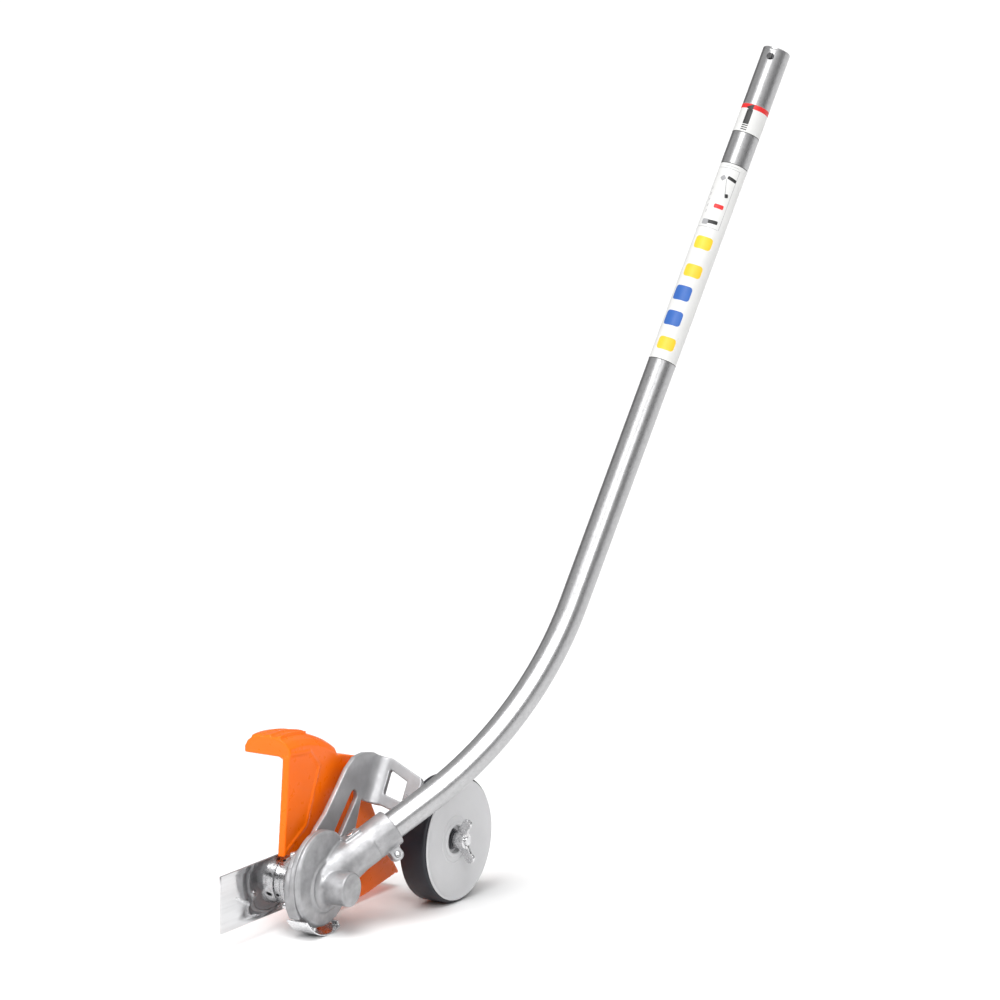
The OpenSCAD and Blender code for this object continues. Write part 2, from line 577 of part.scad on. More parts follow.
// ---- axle that slides in the slot, wheel and wing nut ----
washer_t = 2;
sleeve_from = plate_face + washer_t;
recess_r = 12.4;
recess_y = web_y - 3.5;
stack_t = 4.6;
nut_from = recess_y + stack_t;
nut_hub_len = 11;
module at_axle() translate([-wheel_back, 0, wheel_up]) children();
module axle_bolt() color("silver") at_head() at_axle() {
  rod_y(plate_face - plate_t - 4.5, plate_face - plate_t, 9);
  translate([-bolt_r, plate_face - plate_t, -bolt_r]) cube([2 * bolt_r, plate_t, 2 * bolt_r]);
  rod_y(plate_face, nut_from + nut_hub_len + 1.5, bolt_r);
}
module slide_washer() color("gray") at_head() at_axle() ring_y(plate_face, sleeve_from, bolt_r, hub_r);
module axle_sleeve() color("gray") at_head() at_axle() ring_y(sleeve_from, recess_y, bolt_r, sleeve_r);
module spring_washers() color("dimgray") at_head() at_axle() {
  for (i = [0 : 2]) ring_y(recess_y + 0.1 + 1.5 * i, recess_y + 1 + 1.5 * i, bolt_r, 9.5 - i * 0.8);
}
spokes = 8;
module wheel_disc() color("whitesmoke") at_head() at_axle() difference() {
  union() {
    turned_y([[sleeve_r - 1, wheel_inner - 2.2], [hub_r, wheel_inner - 2.2], [hub_r, web_y - 9],
      [recess_r + 1.6, web_y - 9], [recess_r + 1.6, web_y - 4],
      [wheel_r - tyre_t - 4, web_y - 4], [wheel_r - tyre_t - 4, wheel_inner + 0.5],
      [wheel_r - tyre_t, wheel_inner + 0.5], [wheel_r - tyre_t, wheel_face - 1.4],
      [wheel_r - 1.8, wheel_face - 1.4], [wheel_r - 1.8, wheel_face - 0.5], [wheel_r - 2.4, wheel_face],
      [wheel_r - 4.2, wheel_face], [wheel_r - 5, wheel_face - 0.8], [38, web_y], [recess_r + 5, web_y],
      [recess_r + 1, web_y + 0.8], [recess_r, web_y + 0.8], [recess_r, recess_y], [sleeve_r - 1, recess_y]]);
    for (i = [0 : spokes - 1]) rotate([0, 360 / spokes * i, 0])
      translate([hub_r - 2, wheel_inner + 4, -1.5]) cube([wheel_r - tyre_t - hub_r - 1, web_y - wheel_inner - 8, 3]);
  }
  rod_y(0, 80, sleeve_r + run);
}
module tyre() color([0.06, 0.06, 0.08]) at_head() at_axle() turned_y([[wheel_r - tyre_t, wheel_inner],
  [wheel_r - 1.5, wheel_inner], [wheel_r, wheel_inner + 1.5], [wheel_r, wheel_face - 2.6],
  [wheel_r - 1.2, wheel_face - 1.4], [wheel_r - tyre_t, wheel_face - 1.4]]);
module wing_nut() color("silver") at_head() at_axle() translate([0, nut_from, 0]) difference() {
  union() {
    rod_y(0, nut_hub_len, 7.4);
    for (side = [1, -1]) rotate([0, wing_turn, 0]) rotate([0, 90, 0]) translate([0, 0, -1.6])
      linear_extrude(3.2) wing_outline(side);
  }
  rod_y(-1, nut_hub_len + 20, bolt_r + run);
}
wing_turn = 8;
// One wing in the plane of the axis: X is across the axis, Y is along it
module wing_outline(side) {
  polygon([[0, 1], [side * 7, 1], [side * 18, 9], [side * 19.5, 16], [side * 12, 14.5], [0, nut_hub_len]]);
  translate([side * 16.2, 12.8]) circle(r = 4.6);
}
drive_tube();
tube_liner();
flex_shaft();
end_bushing();
pointer_label();
notice_label();
gear_case();
gear_cover();
cover_screws();
clamp_screw();
locating_screw();
grease_plug();
pinion_bearings();
pinion_ring();
boss_bearing();
cover_bearing();
snap_ring();
shaft_seal();
skid_plate();
skid_screw();
bracket();
deflector();
deflector_screws();
wheel_plate();
wheel_plate_bolts();
blade_shaft();
crown_gear();
shaft_key();
thrust_disc();
blade();
clamp_disc();
blade_nut();
pinion();
drive_end();
axle_bolt();
axle_sleeve();
slide_washer();
spring_washers();
wheel_disc();
tyre();
wing_nut();
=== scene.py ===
"""Lawn edger attachment: the finished look of each piece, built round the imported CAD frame."""
import math

import bmesh
import bpy
from bpy.props import FloatProperty, FloatVectorProperty, IntProperty, PointerProperty
from mathutils import Matrix, Vector


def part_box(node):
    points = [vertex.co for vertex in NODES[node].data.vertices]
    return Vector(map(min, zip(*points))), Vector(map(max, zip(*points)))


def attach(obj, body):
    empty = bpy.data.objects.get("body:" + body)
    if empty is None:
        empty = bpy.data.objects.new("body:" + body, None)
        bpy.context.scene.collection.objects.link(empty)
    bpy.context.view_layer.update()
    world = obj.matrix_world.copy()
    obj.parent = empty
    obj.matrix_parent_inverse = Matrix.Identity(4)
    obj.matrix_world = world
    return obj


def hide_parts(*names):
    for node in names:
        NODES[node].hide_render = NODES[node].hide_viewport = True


bl_info = {
    "name": "Lawn edger attachment",
    "version": (1, 0, 0),
    "blender": (4, 5, 0),
    "location": "View3D > Sidebar > Edger",
    "description": "Builds the visible pieces of a lawn edger attachment on its CAD frame",
    "category": "Object",
}

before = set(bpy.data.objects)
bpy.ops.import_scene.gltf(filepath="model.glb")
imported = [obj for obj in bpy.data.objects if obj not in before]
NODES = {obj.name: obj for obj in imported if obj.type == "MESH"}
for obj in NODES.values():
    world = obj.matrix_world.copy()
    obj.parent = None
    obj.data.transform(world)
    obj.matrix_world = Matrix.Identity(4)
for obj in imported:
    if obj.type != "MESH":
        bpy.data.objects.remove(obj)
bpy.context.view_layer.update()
MM = 0.001
BLADE_LOW, BLADE_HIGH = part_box("blade")
# The gear centre lies this far on the wheel side of the blade's middle
GEAR = (BLADE_LOW + BLADE_HIGH) / 2 + Vector((0, 0.0312, 0))


def head(x, y, z):
    """A place given in millimetres from the gear centre, in the frame's metres."""
    return GEAR + Vector((x, y, z)) * MM


def heading(yaw, pitch):
    """Unit direction that leans back, sideways by yaw and up by pitch, in degrees."""
    yaw, pitch = math.radians(yaw), math.radians(pitch)
    return Vector((-math.cos(yaw) * math.cos(pitch), math.sin(yaw) * math.cos(pitch), math.sin(pitch)))


NECK = heading(33.5, 31.2)
TOP = heading(11.5, 59.9)
BEND_FROM, BEND_R = 126.0, 394.0
BEND_ANGLE = NECK.angle(TOP)
BEND_AXIS = NECK.cross(TOP).normalized()
BEND_SIDE = (TOP - NECK * math.cos(BEND_ANGLE)).normalized()
BEND_CENTRE = NECK * BEND_FROM + BEND_SIDE * BEND_R
BEND_TO = BEND_CENTRE + Matrix.Rotation(BEND_ANGLE, 3, BEND_AXIS) @ (NECK * BEND_FROM - BEND_CENTRE)
TOP_LEN = 539.0
TUBE_END = BEND_TO + TOP * TOP_LEN
TUBE_R = 12.7
# Side of the upper tube that carries the label prints and the locating hole
FACING = Vector((0.75544, 0.54323, 0.36634))
FACING_SIDE = TOP.cross(FACING)


# ---------------------------------------------------------------- settings

class EdgerSizes(bpy.types.PropertyGroup):
    """Sizes that change the look of the pieces and not the frame"""
    edge_round: FloatProperty(name="Edge rounding", description="Radius broken off machined edges",
                              default=0.00035, min=0.0001, max=0.001, unit="LENGTH")
    cast_voxel: FloatProperty(name="Casting grain", description="Voxel size that rounds the castings",
                              default=0.00078, min=0.0005, max=0.003, unit="LENGTH")
    moulding_voxel: FloatProperty(name="Moulding grain", description="Voxel size that rounds the deflector",
                                  default=0.00095, min=0.0006, max=0.003, unit="LENGTH")
    turned_steps: IntProperty(name="Turned steps", description="Steps round a turned piece", default=128,
                              min=32, max=256)


class EdgerColours(bpy.types.PropertyGroup):
    """Colours of the finishes, as linear light"""
    orange: FloatVectorProperty(name="Deflector orange", description="Moulded deflector", subtype="COLOR",
                                default=(1.0, 0.16, 0.001), min=0, max=1)
    casting: FloatVectorProperty(name="Casting grey", description="Blasted aluminium castings", subtype="COLOR",
                                 default=(0.40, 0.40, 0.41), min=0, max=1)
    steel: FloatVectorProperty(name="Bright steel", description="Drawn tube and zinc plated steel",
                               subtype="COLOR", default=(0.80, 0.80, 0.81), min=0, max=1)
    tyre: FloatVectorProperty(name="Tyre black", description="Moulded rubber", subtype="COLOR",
                              default=(0.012, 0.012, 0.018), min=0, max=1)
    disc: FloatVectorProperty(name="Wheel disc", description="Pale moulded plastic", subtype="COLOR",
                              default=(0.60, 0.60, 0.61), min=0, max=1)


# ---------------------------------------------------------------- materials

def shader(name, colour, metallic, roughness, **sockets):
    """A new material with its constants on the shader's own sockets."""
    mat = bpy.data.materials.new(name)
    mat.use_nodes = True
    bsdf = mat.node_tree.nodes["Principled BSDF"]
    bsdf.inputs["Base Color"].default_value = (*colour, 1)
    bsdf.inputs["Metallic"].default_value = metallic
    bsdf.inputs["Roughness"].default_value = roughness
    for key, value in sockets.items():
        bsdf.inputs[key.replace("_", " ")].default_value = value
    mat.diffuse_color = (*colour, 1)
    return mat


def object_place(mat, stretch=(1, 1, 1)):
    """Object coordinates, stretched, as a socket."""
    tree = mat.node_tree
    coord = tree.nodes.new("ShaderNodeTexCoord")
    mapping = tree.nodes.new("ShaderNodeMapping")
    mapping.inputs["Scale"].default_value = stretch
    tree.links.new(coord.outputs["Object"], mapping.inputs["Vector"])
    return mapping.outputs["Vector"]


def noise(mat, place, scale, detail=4.0, rough=0.55):
    """Fine random pattern, as a value from 0 to 1."""
    node = mat.node_tree.nodes.new("ShaderNodeTexNoise")
    node.inputs["Scale"].default_value = scale
    node.inputs["Detail"].default_value = detail
    node.inputs["Roughness"].default_value = rough
    mat.node_tree.links.new(place, node.inputs["Vector"])
    return node.outputs["Fac"]


# Noise gathers in the middle of its range, so blends start and stop here
NOISE_LOW, NOISE_HIGH = 0.3, 0.7


def ramp(mat, value, low, high):
    """Blend of two colours by a noise value."""
    node = mat.node_tree.nodes.new("ShaderNodeValToRGB")
    node.color_ramp.elements[0].position = NOISE_LOW
    node.color_ramp.elements[1].position = NOISE_HIGH
    node.color_ramp.elements[0].color = (*low, 1)
    node.color_ramp.elements[1].color = (*high, 1)
    mat.node_tree.links.new(value, node.inputs["Fac"])
    return node.outputs["Color"]


def spread(mat, value, low, high):
    """Blend of two numbers by a noise value."""
    node = mat.node_tree.nodes.new("ShaderNodeMapRange")
    for key, number in (("From Min", NOISE_LOW), ("From Max", NOISE_HIGH), ("To Min", low), ("To Max", high)):
        node.inputs[key].default_value = number
    mat.node_tree.links.new(value, node.inputs["Value"])
    return node.outputs["Result"]


def bump(mat, height, distance, strength, over=None):
    """Small relief from a height value, on top of another relief where there is one."""
    node = mat.node_tree.nodes.new("ShaderNodeBump")
    node.inputs["Distance"].default_value = distance
    node.inputs["Strength"].default_value = strength
    mat.node_tree.links.new(height, node.inputs["Height"])
    if over is not None:
        mat.node_tree.links.new(over, node.inputs["Normal"])
    return node.outputs["Normal"]


def join(mat, socket, name):
    """Feeds one of the shader's inputs."""
    mat.node_tree.links.new(socket, mat.node_tree.nodes["Principled BSDF"].inputs[name])


def shade(colour, k):
    """A colour made lighter or darker."""
    return tuple(min(1.0, c * k) for c in colour)


def blasted_casting(name, colour, dark=0.72, light=1.18, rough=0.4):
    """Shot-blasted aluminium: fine pits, soft cloudy tone."""
    mat = shader(name, colour, 0.6, rough)
    place = object_place(mat)
    join(mat, ramp(mat, noise(mat, place, 70, 6), shade(colour, dark), shade(colour, light)), "Base Color")
    join(mat, spread(mat, noise(mat, place, 240, 4), rough - 0.07, rough + 0.12), "Roughness")
    fine = bump(mat, noise(mat, place, 1300, 3, 0.6), 0.00016, 0.7)
    join(mat, bump(mat, noise(mat, place, 380, 3), 0.0002, 0.35, fine), "Normal")
    return mat


def drawn_steel(name, colour, rough, streak, strength):
    """Bright steel with a fine surface, drawn out into lines where the streak is not even."""
    mat = shader(name, colour, 1.0, rough)
    along = object_place(mat, streak)
    join(mat, ramp(mat, noise(mat, along, 300, 5), shade(colour, 0.9), shade(colour, 1.06)), "Base Color")
    join(mat, spread(mat, noise(mat, along, 900, 4), rough - 0.04, rough + 0.08), "Roughness")
    join(mat, bump(mat, noise(mat, along, 1600, 2), 0.00003, strength), "Normal")
    return mat


def plated_steel(name, colour, rough):
    """Zinc plated or machined steel with faint clouds and small marks."""
    mat = shader(name, colour, 1.0, rough)
    place = object_place(mat)
    join(mat, ramp(mat, noise(mat, place, 260, 5), shade(colour, 0.84), shade(colour, 1.08)), "Base Color")
    join(mat, spread(mat, noise(mat, place, 700, 4), rough - 0.08, rough + 0.1), "Roughness")
    join(mat, bump(mat, noise(mat, place, 1300, 2), 0.00002, 0.08), "Normal")
    return mat


def moulded(name, colour, rough, grain=900, depth=0.00006, strength=0.3, vary=0.08, gloss=0.5):
    """Moulded plastic or rubber: a fine spark-eroded grain and a slight change of tone."""
    mat = shader(name, colour, 0.0, rough, Specular_IOR_Level=gloss)
    place = object_place(mat)
    tone = ramp(mat, noise(mat, place, 22, 3), shade(colour, 1 - vary), shade(colour, 1 + vary))
    join(mat, tone, "Base Color")
    join(mat, spread(mat, noise(mat, place, 120, 4), rough - 0.05, rough + 0.07), "Roughness")
    join(mat, bump(mat, noise(mat, place, grain, 2), depth, strength), "Normal")
    return mat


MATERIALS = {}


def finish_named(name):
    """The finish of that name, made the first time it is asked for."""
    if name in MATERIALS:
        return MATERIALS[name]
    tone = bpy.context.scene.edger_colours
    steel, casting = tuple(tone.steel), tuple(tone.casting)
    make = {
        "tube_steel": lambda: drawn_steel(name, shade(steel, 0.62), 0.3, (1, 1, 1), 0.02),
        "liner_plastic": lambda: moulded(name, (0.014, 0.014, 0.016), 0.45),
        "wound_steel": lambda: plated_steel(name, (0.2, 0.2, 0.21), 0.35),
        "bushing_plastic": lambda: moulded(name, (0.012, 0.012, 0.013), 0.5),
        "label_film": lambda: moulded(name, (0.68, 0.68, 0.67), 0.32, 1500, 0.00002, 0.1, 0.03),
        "cast_case": lambda: blasted_casting(name, casting),
        "cast_bracket": lambda: blasted_casting(name, shade(casting, 1.1), 0.88, 1.08, 0.4),
        "zinc_steel": lambda: plated_steel(name, shade(steel, 0.9), 0.24),
        "bearing_steel": lambda: plated_steel(name, shade(steel, 0.85), 0.18),
        "gear_steel": lambda: plated_steel(name, (0.16, 0.16, 0.17), 0.32),
        "seal_rubber": lambda: moulded(name, (0.01, 0.01, 0.01), 0.6),
        "skid_steel": lambda: plated_steel(name, shade(steel, 1.02), 0.22),
        "orange_plastic": lambda: moulded(name, tuple(tone.orange), 0.3, 1100, 0.00004, 0.2, 0.03, 0.3),
        "black_steel": lambda: moulded(name, (0.015, 0.015, 0.016), 0.42, 700, 0.00008, 0.35),
        "blade_steel": lambda: drawn_steel(name, shade(steel, 0.82), 0.09, (0.05, 1, 1), 0.05),
        "disc_plastic": lambda: moulded(name, tuple(tone.disc), 0.42, 800, 0.00005, 0.2, 0.03),
        "tyre_rubber": lambda: moulded(name, tuple(tone.tyre), 0.5, 600, 0.0001, 0.4, 0.15),
        "print_black": lambda: moulded(name, (0.02, 0.02, 0.02), 0.4, 1500, 0.00002, 0.1),
        "print_red": lambda: moulded(name, (0.65, 0.02, 0.02), 0.36, 1500, 0.00002, 0.1),
        "print_yellow": lambda: moulded(name, (0.85, 0.52, 0.03), 0.36, 1500, 0.00002, 0.1),
        "print_blue": lambda: moulded(name, (0.03, 0.12, 0.42), 0.36, 1500, 0.00002, 0.1),
        "print_grey": lambda: moulded(name, (0.32, 0.32, 0.33), 0.4, 1500, 0.00002, 0.1),
    }[name]
    MATERIALS[name] = make()
    return MATERIALS[name]


# ---------------------------------------------------------------- mesh helpers

def add_piece(name, mesh_or_bm, finish, body, replaces=(), smooth=35.0):
    """Links a finished mesh as a piece that rides on a body and stands for CAD nodes."""
    if isinstance(mesh_or_bm, bmesh.types.BMesh):
        mesh = bpy.data.meshes.new(name)
        mesh_or_bm.to_mesh(mesh)
        mesh_or_bm.free()
    else:
        mesh = mesh_or_bm
        mesh.name = name
    for polygon in mesh.polygons:
        polygon.use_smooth = True
    mesh.set_sharp_from_angle(angle=math.radians(smooth))
    mesh.materials.clear()
    mesh.materials.append(finish_named(finish))
    piece = bpy.data.objects.new(name, mesh)
    bpy.context.scene.collection.objects.link(piece)
    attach(piece, body)
    if replaces:
        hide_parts(*replaces)
    return piece


def copy_of(node):
    """The CAD node's triangles as one closed, merged mesh."""
    bm = bmesh.new()
    bm.from_mesh(NODES[node].data)
    bmesh.ops.remove_doubles(bm, verts=bm.verts, dist=2e-6)
    bmesh.ops.dissolve_degenerate(bm, dist=2e-6, edges=bm.edges)
    bmesh.ops.recalc_face_normals(bm, faces=bm.faces)
    return bm


def with_modifiers(bm, *modifiers):
    """The mesh after these modifiers, each a kind and its values, applied in order."""
    mesh = bpy.data.meshes.new("work")
    bm.to_mesh(mesh)
    bm.free()
    work = bpy.data.objects.new("work", mesh)
    bpy.context.scene.collection.objects.link(work)
    for kind, values in modifiers:
        mod = work.modifiers.new(kind, kind)
        for key, value in values.items():
            setattr(mod, key, value)
    bpy.context.view_layer.update()
    done = bpy.data.meshes.new_from_object(work.evaluated_get(bpy.context.evaluated_depsgraph_get()))
    bpy.data.objects.remove(work)
    bpy.data.meshes.remove(mesh)
    return done


def broken_edges(node, width):
    """A CAD node's shape with its sharp edges rounded a little."""
    bm = copy_of(node)
    bmesh.ops.dissolve_limit(bm, angle_limit=math.radians(0.6), verts=bm.verts, edges=bm.edges,
                             delimit=set())
    return with_modifiers(bm, ("BEVEL", dict(width=width, segments=2, limit_method="ANGLE",
                                             angle_limit=math.radians(32), use_clamp_overlap=True,
                                             miter_outer="MITER_ARC", harden_normals=False)))


def grained(bm, voxel, smoothing):
    """The mesh as a casting or moulding: all its edges and inner corners rounded."""
    return with_modifiers(bm, ("REMESH", dict(mode="VOXEL", voxel_size=voxel, adaptivity=0.0)),
                          ("SMOOTH", dict(factor=0.5, iterations=smoothing)))


def turned(profile, centre, steps, axis=Vector((0, 1, 0)), radial=Vector((1, 0, 0))):
    """A closed solid turned about an axis from (radius, along) points in millimetres."""
    bm = bmesh.new()
    verts = [bm.verts.new(centre + (radial * r + axis * a) * MM) for r, a in profile]
    edges = [bm.edges.new((verts[i], verts[(i + 1) % len(verts)])) for i in range(len(verts))]
    bmesh.ops.spin(bm, geom=verts + edges, cent=centre, axis=axis, angle=math.tau, steps=steps,
                   use_merge=True)
    bmesh.ops.remove_doubles(bm, verts=bm.verts, dist=1e-7)
    bmesh.ops.recalc_face_normals(bm, faces=bm.faces)
    return bm


def swept(bm, profile, start, stop, steps=16):
    """Adds a closed solid swept about the blade axis from (radius, y) points, between two angles."""
    at = [math.radians(a) for a in (start, stop)]
    verts = [bm.verts.new(head(r * math.cos(at[0]), y, r * math.sin(at[0]))) for r, y in profile]
    face = bm.faces.new(verts)
    made = bmesh.ops.spin(bm, geom=[face, *face.edges, *verts], cent=GEAR, axis=(0, -1, 0),
                          angle=at[1] - at[0], steps=steps)
    fresh = [g for g in made["geom_last"] if isinstance(g, bmesh.types.BMFace)]
    bmesh.ops.recalc_face_normals(bm, faces=linked(fresh))


def linked(faces):
    """All the faces joined to these."""
    found, queue = set(faces), list(faces)
    while queue:
        for edge in queue.pop().edges:
            for face in edge.link_faces:
                if face not in found:
                    found.add(face)
                    queue.append(face)
    return list(found)


def slab(bm, a, b, wide, y_low, y_high):
    """Adds a bar from a to b, given as (x, z), between two levels of y and wide to their left."""
    a, b = Vector((a[0], 0, a[1])), Vector((b[0], 0, b[1]))
    along = (b - a).normalized()
    off = Vector((-along.z, 0, along.x))
    turn = Matrix((along, Vector((0, 1, 0)), off)).transposed().to_4x4()
    middle = (a + b) / 2 + off * wide / 2 + Vector((0, (y_low + y_high) / 2, 0))
    size = Matrix.Diagonal(((b - a).length * MM + 0.001, (y_high - y_low) * MM, wide * MM, 1))
    bmesh.ops.create_cube(bm, size=1, matrix=Matrix.Translation(head(*middle)) @ turn @ size)


def cylinder(bm, start, stop, radius, segments=32):
    """Adds a closed cylinder between two places given in millimetres from the gear centre."""
    start, stop = Vector(start), Vector(stop)
    along = stop - start
    turn = along.to_track_quat("Z", "Y").to_matrix().to_4x4()
    bmesh.ops.create_cone(bm, cap_ends=True, segments=segments, radius1=radius * MM, radius2=radius * MM,
                          depth=along.length * MM, matrix=Matrix.Translation(head(*((start + stop) / 2))) @ turn)


def cut_away(bm, cutter):
    """The mesh of bm with the solids of cutter taken out."""
    mesh = bpy.data.meshes.new("cutter")
    cutter.to_mesh(mesh)
    cutter.free()
    tool = bpy.data.objects.new("cutter", mesh)
    bpy.context.scene.collection.objects.link(tool)
    done = with_modifiers(bm, ("BOOLEAN", dict(operation="DIFFERENCE", solver="EXACT", object=tool)))
    bpy.data.objects.remove(tool)
    bpy.data.meshes.remove(mesh)
    return done


# ---------------------------------------------------------------- pieces

def settings():
    """The sizes that the user may change."""
    return bpy.context.scene.edger_sizes


class EDGER_OT_drive_tube(bpy.types.Operator):
    """Bent drive tube with a rounded end, a locating hole and a slot"""
    bl_idname = "edger.drive_tube"
    bl_label = "Drive tube"

    def execute(self, context):
        start, wall, end_round = 48.0, 1.5, 0.0005
        hole_in, hole_r, slot_in, hole_turn = 9.5, 3.5, 2.8, math.radians(-20)
        bm = bmesh.new()
        across = NECK.orthogonal().normalized()
        turn = Matrix((across, NECK.cross(across), NECK)).transposed().to_4x4()
        # The inner circle runs the other way round, so that its wall faces inwards
        for radius, way in ((TUBE_R, 1), (TUBE_R - wall, -1)):
            bmesh.ops.create_circle(bm, cap_ends=False, segments=72, radius=radius * MM,
                                    matrix=Matrix.Translation(GEAR + NECK * start * MM) @ turn
                                    @ Matrix.Diagonal((way, 1, 1, 1)))
        first = list(bm.edges)

        def carried(edges, move):
            """Draws the rings of edges on and gives the new rings."""
            made = bmesh.ops.extrude_edge_only(bm, edges=edges)["geom"]
            bmesh.ops.translate(bm, vec=move, verts=[g for g in made if isinstance(g, bmesh.types.BMVert)])
            return [g for g in made if isinstance(g, bmesh.types.BMEdge)]

        last = carried(first, NECK * (BEND_FROM - start) * MM)
        bent = bmesh.ops.spin(bm, geom=last + list({v for e in last for v in e.verts}),
                              cent=GEAR + BEND_CENTRE * MM, axis=BEND_AXIS, angle=BEND_ANGLE, steps=28)
        last = carried([g for g in bent["geom_last"] if isinstance(g, bmesh.types.BMEdge)],
                       TOP * (TOP_LEN - 1) * MM)
        last = carried(last, TOP * MM)
        bmesh.ops.bridge_loops(bm, edges=first)
        bmesh.ops.bridge_loops(bm, edges=last)
        bmesh.ops.remove_doubles(bm, verts=bm.verts, dist=1e-7)
        bmesh.ops.recalc_face_normals(bm, faces=bm.faces)
        tip = head(*TUBE_END)
        rim = [e for e in bm.edges if all(abs((v.co - tip).dot(TOP)) < 1e-6 for v in e.verts)
               and abs((e.verts[0].co - tip).length - (e.verts[1].co - tip).length) < 1e-6]
        bmesh.ops.bevel(bm, geom=rim, offset=end_round, offset_type="OFFSET", affect="EDGES", segments=3,
                        profile=0.5, material=-1, clamp_overlap=True)
        toward = FACING * math.cos(hole_turn) + FACING_SIDE * math.sin(hole_turn)
        hole = TUBE_END - TOP * hole_in
        slot = head(*(TUBE_END - TOP * slot_in + toward * 12))
        slot_size = Matrix.Diagonal((0.008, 0.0064, 0.002, 1))
        turn = Matrix((toward, TOP.cross(toward), TOP)).transposed().to_4x4()
        holes = bmesh.new()
        cylinder(holes, hole + toward * 6, hole + toward * 16, hole_r, 40)
        bmesh.ops.create_cube(holes, size=1, matrix=Matrix.Translation(slot) @ turn @ slot_size)
        add_piece("drive_tube_bent", cut_away(bm, holes), "tube_steel", "attachment", ["drive_tube"])
        return {"FINISHED"}


class EDGER_OT_castings(bpy.types.Operator):
    """Gear case, gear cover and support bracket with the soft edges of castings"""
    bl_idname = "edger.castings"
    bl_label = "Castings"

    def execute(self, context):
        voxel = settings().cast_voxel
        for node, finish in (("gear_case", "cast_case"), ("gear_cover", "cast_case"),
                             ("bracket", "cast_bracket")):
            add_piece(node + "_cast", grained(copy_of(node), voxel, 3), finish, "attachment", [node],
                      smooth=180)
        return {"FINISHED"}


class EDGER_OT_deflector(bpy.types.Operator):
    """Moulded blade deflector with bands, a flange and a raised rim"""
    bl_idname = "edger.deflector"
    bl_label = "Deflector"

    def execute(self, context):
        bm = copy_of("deflector")
        # Three raised bands along the hood's top
        for from_y, to_y, low, high, start, stop in ((-60.5, -51.4, 125.0, 130.0, 86.0, 112.0),
                                                     (-47.9, -40.3, 126.0, 130.9, 86.0, 109.0),
                                                     (-36.8, -30.0, 126.0, 130.6, 86.0, 104.0)):
            swept(bm, [(low, from_y), (high - 1.6, from_y), (high, to_y - 1.0), (high, to_y), (low, to_y)],
                  start, stop)
        # Flange down the panel's front edge, and the raised rim on its other sides
        slab(bm, (19.4, 26), (10.6, 112), 2.6, -27.4, -20.2)
        rim = [(9.0, 116.0), (-22, 112.5), (-38, 96), (-16, 46), (14, 30)]
        for a, b in zip(rim, rim[1:]):
            slab(bm, a, b, 2.2, -21.5, -19.4)
        add_piece("deflector_moulded", grained(bm, settings().moulding_voxel, 3),
                  "orange_plastic", "attachment", ["deflector"], smooth=180)
        return {"FINISHED"}


class EDGER_OT_wheel(bpy.types.Operator):
    """Dished wheel disc with ribs behind it, and its rubber tyre"""
    bl_idname = "edger.wheel"
    bl_label = "Depth wheel"

    def execute(self, context):
        low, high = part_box("tyre")
        steps = settings().turned_steps
        axle = Vector(((low.x + high.x) / 2, low.y, (low.z + high.z) / 2))
        r = (high.x - low.x) / 2 / MM
        band, web = r - 4.5, 23.3
        tyre = turned([(band, 0), (r - 2.6, 0), (r - 0.8, 0.6), (r, 2.4), (r, 23.6), (r - 0.25, 25.0),
                       (r - 0.9, 26.1), (r - 1.9, 26.6), (band, 26.6)], axle, steps)
        add_piece("tyre_band", tyre, "tyre_rubber", "wheel", ["tyre"], smooth=50)

        bore, hub, recess = 6.06, 11.0, 12.4
        inner_side = [(bore, -2.2), (hub - 0.4, -2.2), (hub, -1.8), (hub, web - 9), (recess + 1.6, web - 9),
                      (recess + 1.6, web - 4), (r - 8.5, web - 4), (r - 8.5, 0.5), (band - 0.05, 0.5)]
        rim = [(band - 0.05, 26.65), (r - 2.9, 26.65), (r - 2.5, 27.0), (r - 2.6, 27.6), (r - 3.1, 28.0),
               (r - 4.4, 28.0), (r - 5.0, 27.6), (r - 6.2, 26.6), (r - 9, 25.2), (r - 13, 24.2)]
        dish = [(r - 18, web + 0.1), (r - 20, web), (recess + 9.5, web), (recess + 8.9, web + 0.5),
                (recess + 8.0, web + 0.5), (recess + 7.4, web), (recess + 3.2, web),
                (recess + 2.2, web + 0.9), (recess + 1.2, web + 1.1), (recess + 0.3, web + 0.8),
                (recess, web), (recess, web - 3.5), (bore, web - 3.5)]
        disc = turned((inner_side + rim + dish)[::-1], axle, steps)
        rib_long, rib_deep, rib_thick = band - hub - 1, web - 8, 3
        rib_size = Matrix.Diagonal((rib_long * MM, rib_deep * MM, rib_thick * MM, 1))
        rib_place = Matrix.Translation(Vector((hub - 2 + rib_long / 2, 4 + rib_deep / 2, 0)) * MM)
        ribs = 8
        for k in range(ribs):
            turn = Matrix.Rotation(math.tau * k / ribs, 4, "Y")
            bmesh.ops.create_cube(disc, size=1, matrix=Matrix.Translation(axle) @ turn @ rib_place @ rib_size)
        add_piece("wheel_disc_moulded", disc, "disc_plastic", "wheel", ["wheel_disc"], smooth=25)
        return {"FINISHED"}


